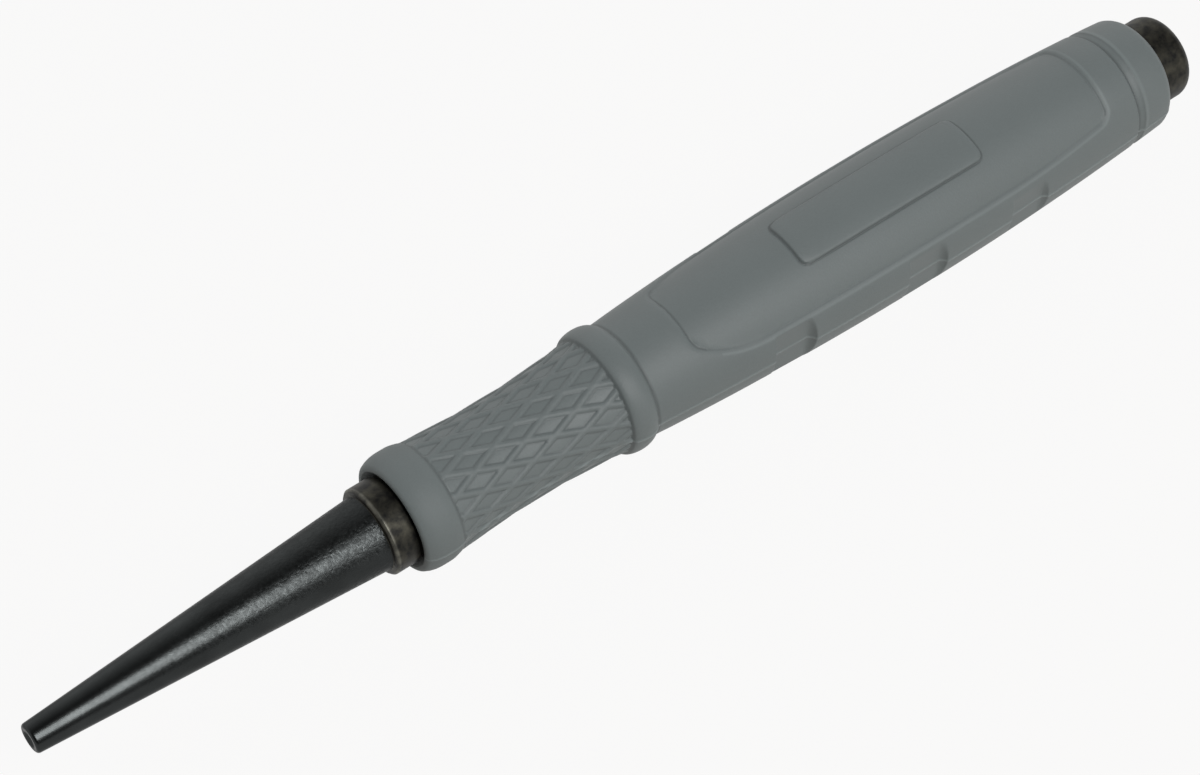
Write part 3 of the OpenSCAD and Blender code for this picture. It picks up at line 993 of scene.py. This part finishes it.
def floor_material(stage):
    """Matte studio paper, whose own light makes it near white to the eye and in reflections."""
    material, tree, place = new_material("Paper, matte studio roll")
    fibre_size, own_light = 4 * MM, 0.93
    pattern = {"Vector": place, "Scale": 1 / fibre_size, "Detail": 3.0}
    fibre = add_node(tree, "ShaderNodeTexNoise", pattern)
    dark, light = shade(stage.floor_colour, 0.99), shade(stage.floor_colour, 1.01)
    tones = {MIX_SHARE: fibre.outputs[0], MIX_FROM: dark, MIX_TO: light}
    tone = add_node(tree, "ShaderNodeMix", tones, data_type="RGBA").outputs[MIX_RESULT]
    paper = add_node(tree, "ShaderNodeBsdfPrincipled", {"Base Color": tone, "Roughness": 0.9})
    white = add_node(tree, "ShaderNodeEmission", {"Color": rgba((1.0, 1.0, 1.0)), "Strength": 1.0})
    ray = add_node(tree, "ShaderNodeLightPath")
    kinds = ("Is Camera Ray", "Is Glossy Ray", "Is Transmission Ray")
    share = greatest([Field(tree, ray.outputs[kind]) for kind in kinds]) * own_light
    shaders = {MIX_SHARE: share.socket, 1: paper.outputs[0], 2: white.outputs[0]}
    show(tree, add_node(tree, "ShaderNodeMixShader", shaders))
    return material


def studio_world():
    """A studio whose light is brighter low down and beyond the tool's far side."""
    brighter_towards, level_light, least_light = (0.0, 0.8, -0.7), 0.7, 0.1
    world = bpy.data.worlds.new("Pale studio")
    world.use_nodes = True
    tree = world.node_tree
    tree.nodes.clear()
    facing = add_node(tree, "ShaderNodeTexCoord").outputs["Generated"]
    vectors = {0: facing, 1: brighter_towards}
    slope = add_node(tree, "ShaderNodeVectorMath", vectors, operation="DOT_PRODUCT")
    level = Field(tree, slope.outputs["Value"]) + level_light
    glow = {"Color": rgba((1.0, 1.0, 1.0)), "Strength": level.math("MAXIMUM", least_light).socket}
    light = add_node(tree, "ShaderNodeBackground", glow)
    add_node(tree, "ShaderNodeOutputWorld", {"Surface": light.outputs[0]})
    return world


def soft_box(name, station, height, lean, along, across, watts):
    """A rectangular lamp that faces a point of the tool's axis and leans towards the near side."""
    toward = Vector((0.0, -math.sin(lean), math.cos(lean)))
    box = bpy.data.lights.new(name, "AREA")
    box.shape = "RECTANGLE"
    box.size, box.size_y = along, across
    box.energy = watts
    lamp = bpy.data.objects.new(name, box)
    lamp.location = Vector((station, 0.0, 0.0)) + toward * height
    lamp.rotation_euler = (lean, 0.0, 0.0)
    return lamp


class SCENE_OT_nail_setter_stage(bpy.types.Operator):
    """Builds the floor, the soft light and the camera"""

    bl_idname = "scene.nail_setter_stage"
    bl_label = "Stage"
    bl_options = {"REGISTER", "UNDO"}

    def execute(self, context):
        """Lays the floor under the tool, hangs two soft boxes over it and aims the camera."""
        scene, stage = context.scene, context.scene.stage
        datum = collar_middle(scene.steel)
        half = stage.floor_size / 2
        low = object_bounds()[0].z
        corners = [(-half, -half, low), (half, -half, low), (half, half, low), (-half, half, low)]
        mesh = bpy.data.meshes.new("studio_floor")
        mesh.from_pydata(corners, [], [(0, 1, 2, 3)])
        mesh.materials.append(floor_material(stage))
        floor = bpy.data.objects.new("studio_floor", mesh)
        scene.collection.objects.link(floor)
        floor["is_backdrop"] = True
        scene.world = studio_world()

        # The nose tapers, so it mirrors the key box to the camera, and the grip mirrors the fill box
        key = (stage.key_lean, stage.key_length, stage.key_width, stage.key_power)
        fill = (stage.fill_lean, stage.fill_length, stage.fill_width, stage.fill_power)
        for name, station, sizes in (
            ("key_box", stage.key_station, key),
            ("fill_box", stage.fill_station, fill),
        ):
            lamp = soft_box(name, station - datum, stage.lamp_height, *sizes)
            scene.collection.objects.link(lamp)

        right, up, back, over = view_axes(stage)
        aim = Vector((stage.aim_station - datum, 0.0, 0.0)) + over * stage.aim_lift
        data = bpy.data.cameras.new("photo_camera")
        data.lens = stage.camera_lens / MM
        data.sensor_width = 36.0
        data.clip_start = 10 * MM
        camera = bpy.data.objects.new("photo_camera", data)
        axes = Matrix((right, up, back)).transposed().to_4x4()
        camera.matrix_world = Matrix.Translation(aim + back * stage.camera_distance) @ axes
        scene.collection.objects.link(camera)
        scene.camera = camera
        scene.view_settings.view_transform = "Standard"
        return {"FINISHED"}


class VIEW3D_PT_nail_setter(bpy.types.Panel):
    """Lists the pieces of the nail setter"""

    bl_label = "Nail Setter"
    bl_idname = "VIEW3D_PT_nail_setter"
    bl_space_type = "VIEW_3D"
    bl_region_type = "UI"
    bl_category = "Nail Setter"

    def draw(self, context):
        """Draws one button for each operator."""
        for operator in OPERATORS:
            self.layout.operator(operator.bl_idname)


OPERATORS = (MESH_OT_steel_punch, MESH_OT_soft_grip, SCENE_OT_nail_setter_stage)
SETTINGS = {"steel": SteelSettings, "grip": GripSettings, "stage": StageSettings}


def register():
    """Registers the classes and hangs the settings on the scene."""
    for cls in (*SETTINGS.values(), *OPERATORS, VIEW3D_PT_nail_setter):
        bpy.utils.register_class(cls)
    for name, cls in SETTINGS.items():
        setattr(bpy.types.Scene, name, PointerProperty(type=cls))


def unregister():
    """Removes what register added."""
    for name in SETTINGS:
        delattr(bpy.types.Scene, name)
    for cls in (VIEW3D_PT_nail_setter, *reversed(OPERATORS), *reversed(SETTINGS.values())):
        bpy.utils.unregister_class(cls)


def main():
    """Builds every piece and the stage."""
    register()
    bpy.ops.mesh.steel_punch()
    bpy.ops.mesh.soft_grip()
    bpy.ops.scene.nail_setter_stage()


if __name__ == "__main__":
    main()
